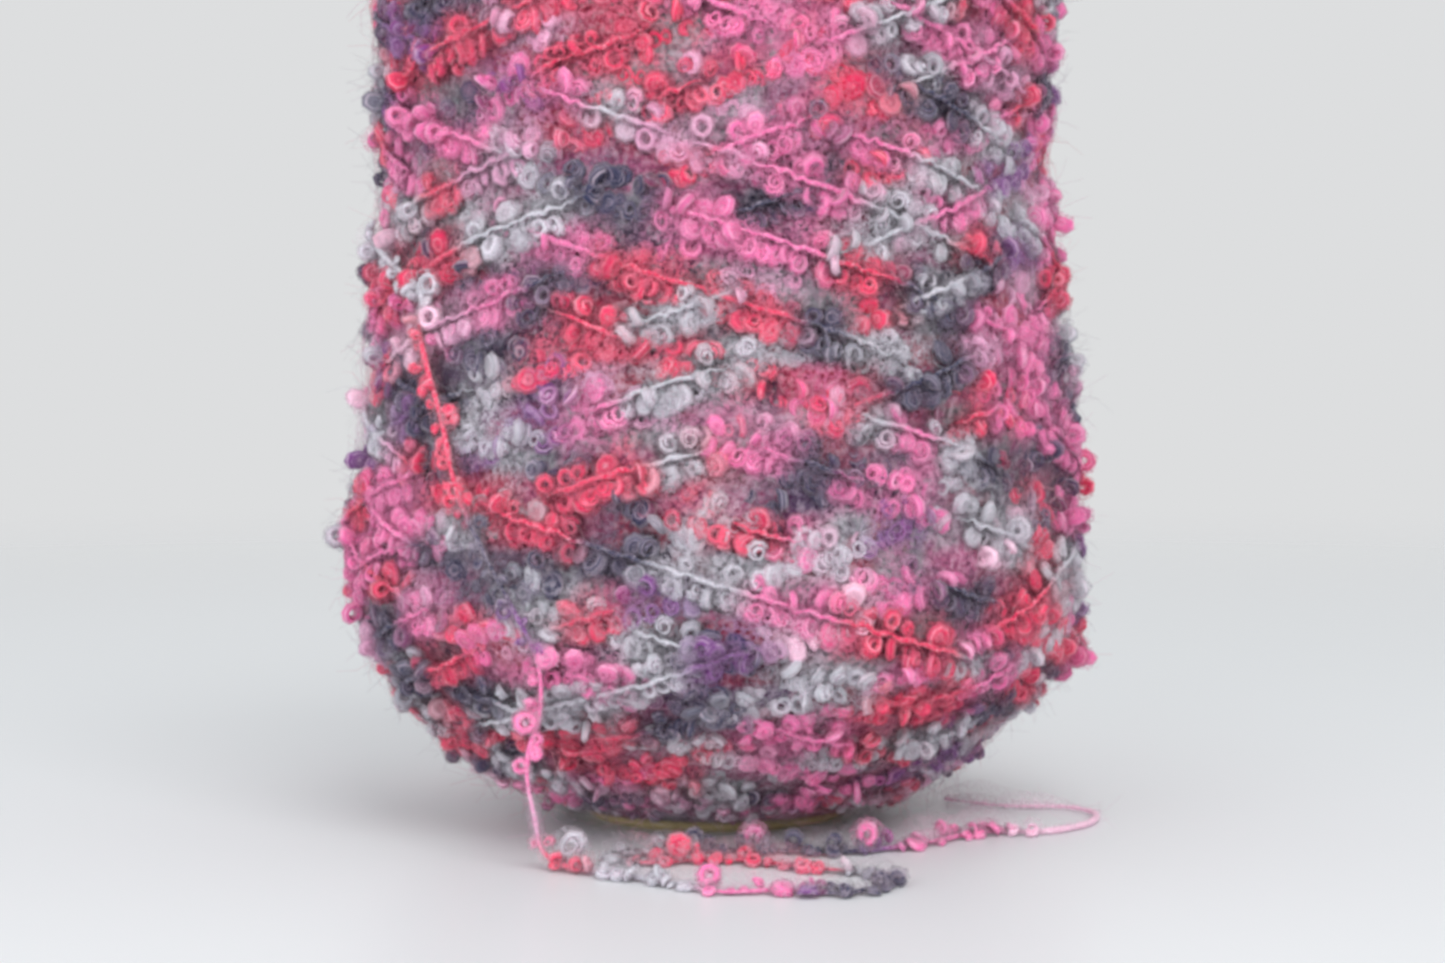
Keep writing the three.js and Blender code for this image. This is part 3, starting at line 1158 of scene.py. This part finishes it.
# %% Haze of the loose end
LOOSE_SLEEVES = [  # (radius, density), one sleeve in the other
    (1.5 * MM, 0.6),
    (3 * MM, 0.35),
]
SLEEVE_SHARES = [  # (length along in mm, share of the radius)
    (90, 1), (115, 0.5), (172, 0.5), (188, 1), (400, 1), (420, 1.2), (445, 1.2),
    (460, 0.4), (500, 0.4), (515, 0.9),
]
shares = np.interp(loose_run / MM, *zip(*SLEEVE_SHARES))
pale_dye = paled(loose_colour(loose_run), 0.5, 238, 220, 232)
puffiness = np.array([0.9 + 0.6 * noise.noise(Vector(p) * 90) for p in loose_line])
for number, (width, density) in enumerate(LOOSE_SLEEVES):
    widths = width * shares * puffiness
    raised = loose_line.copy()
    raised[:, 2] = np.maximum(raised[:, 2], widths + 0.1 * MM)
    sleeve = tube_along(f"loose_haze_{number + 1}", [raised], [widths], 2)
    paint_nearest(sleeve, loose_line, pale_dye)
    finish_piece(sleeve, haze_material(f"haze of the loose end {number + 1}", density, 2.8))

# %% Fibres of the loose end
LOOSE_FIBRES = 420
draw = np.random.default_rng(14)
run = draw.uniform(0.005, loose_length, LOOSE_FIBRES)
place, along = along_line(loose_line, run)
out = unit(np.where(place[:, 2:3] < 3 * MM, (0, 0, 1), place * (1, 1, 0)))
turns = fibre_turns(draw, along, out, draw.uniform(0, 0.6, LOOSE_FIBRES))
turns *= draw.uniform(3, 7.5, (LOOSE_FIBRES, 1, 1)) * MM
picks = draw.integers(0, len(hairs), LOOSE_FIBRES)
roots = above_surface(turns, place.copy(), hairs, picks)
colours = paled(loose_colour(run), 0.3, 226, 214, 224)
loose_fibres = copies("loose_fibres", hairs, picks, turns, roots, colours, colours)
finish_piece(loose_fibres, hair_material)

# %% [markdown]
# ## The paper tube
#
# The tube is rolled from strips of olive-brown paper. The solid model has its shape, so only a
# material is needed: blotchy fibres, and on the cut ends thin rings where the layers meet.

# %% Tube material
cardboard, cardboard_shader = new_material("rolled cardboard", {"Roughness": 0.8})


def build_cardboard(tree, shader):
    """Olive-brown paper with blotches and layers."""
    place = add_node(tree, "TexCoord").outputs["Object"]
    blotches = add_node(tree, "TexNoise", {"Scale": 260, "Detail": 8}, {"Vector": place})
    layers = add_node(
        tree, "TexWave", {"Scale": 900, "Distortion": 1.5}, {"Vector": place},
        wave_type="RINGS", rings_direction="Z",
    )
    paper = add_node(tree, "ValToRGB", links={"Fac": blotches.outputs["Fac"]})
    paper.color_ramp.elements[0].color = (*linear(170, 150, 110), 1)
    paper.color_ramp.elements[1].color = (*linear(214, 196, 146), 1)
    lined = add_node(
        tree, "Mix", {"Factor": 0.35},
        {"A": paper.outputs["Color"], "B": layers.outputs["Color"]},
        data_type="RGBA", blend_type="MULTIPLY",
    )
    bump = add_node(
        tree, "Bump", {"Distance": 0.05 * MM}, {"Height": blotches.outputs["Fac"]},
    )
    tree.links.new(lined.outputs["Result"], shader.inputs["Base Color"])
    tree.links.new(bump.outputs["Normal"], shader.inputs["Normal"])


build_cardboard(cardboard.node_tree, cardboard_shader)
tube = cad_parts["paper_tube"]
tube.data.materials.clear()
tube.data.materials.append(cardboard)
print("tube:", triangles(tube), "triangles")

# %% [markdown]
# ## Floor and light
#
# The cone stands on a pale, slightly glossy floor against a seamless pale backdrop. A floor disc
# and an evenly lit world lie on every side of it, and two soft boxes in front shape the light.

# %% Floor
floor_mesh = bmesh.new()
bmesh.ops.create_circle(floor_mesh, cap_ends=True, segments=96, radius=9)
floor_data = bpy.data.meshes.new("floor")
floor_mesh.to_mesh(floor_data)
floor_mesh.free()
floor = new_object("floor", floor_data)
floor_material, floor_shader = new_material("pale floor", {
    "Base Color": (0.785, 0.81, 0.83, 1), "Roughness": 0.35, "Specular IOR Level": 0.15,
})
floor_data.materials.append(floor_material)


def fade_with_distance(tree, shader, near, far):
    """Lets the floor pass into the backdrop between two distances from the cone."""
    place = add_node(tree, "TexCoord").outputs["Object"]
    apart = add_node(tree, "VectorMath", links={0: place}, operation="LENGTH")
    faded = add_node(
        tree, "MapRange", {"From Min": near, "From Max": far, "To Min": 1, "To Max": 0},
        {"Value": apart.outputs["Value"]}, interpolation_type="SMOOTHSTEP",
    )
    tree.links.new(faded.outputs["Result"], shader.inputs["Alpha"])


fade_with_distance(floor_material.node_tree, floor_shader, 0.25, 1.5)
floor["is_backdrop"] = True
print("floor is", floor.dimensions[0], "m across")

# %% Light
world = bpy.data.worlds.new("studio")
world.use_nodes = True
backdrop = {"Color": (*linear(221, 222, 223), 1), "Strength": 1.0}
set_values(world.node_tree.nodes["Background"], backdrop)
bpy.context.scene.world = world


def soft_light(name, place, target, size, power, colour):
    """A square soft box that faces a target."""
    data = bpy.data.lights.new(name, "AREA")
    data.shape = "SQUARE"
    data.size = size
    data.energy = power
    data.color = colour
    light = new_object(name, data)
    light.location = place
    light.rotation_euler = (Vector(target) - Vector(place)).to_track_quat("-Z", "Y").to_euler()


middle = (0, 0, 110 * MM)
soft_light("key", (0.4, -1.1, 1.2), middle, 0.9, 11, (1, 0.99, 0.98))
soft_light("fill", (-0.6, -1.1, 0.3), (0, 0, 60 * MM), 0.9, 6.5, (0.98, 0.98, 1))
bpy.context.scene.view_settings.view_transform = "Standard"
bpy.context.scene.cycles.filter_width = 3.9  # pixels, which softens the whole picture evenly
print("world and two soft boxes")

# %% [markdown]
# ## Close
#
# The last lines count the triangles of all the pieces that show.

# %% Sizes and finish
pieces = [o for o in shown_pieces() if o.type == "MESH"]
print("triangles in all:", sum(triangles(o) for o in pieces))
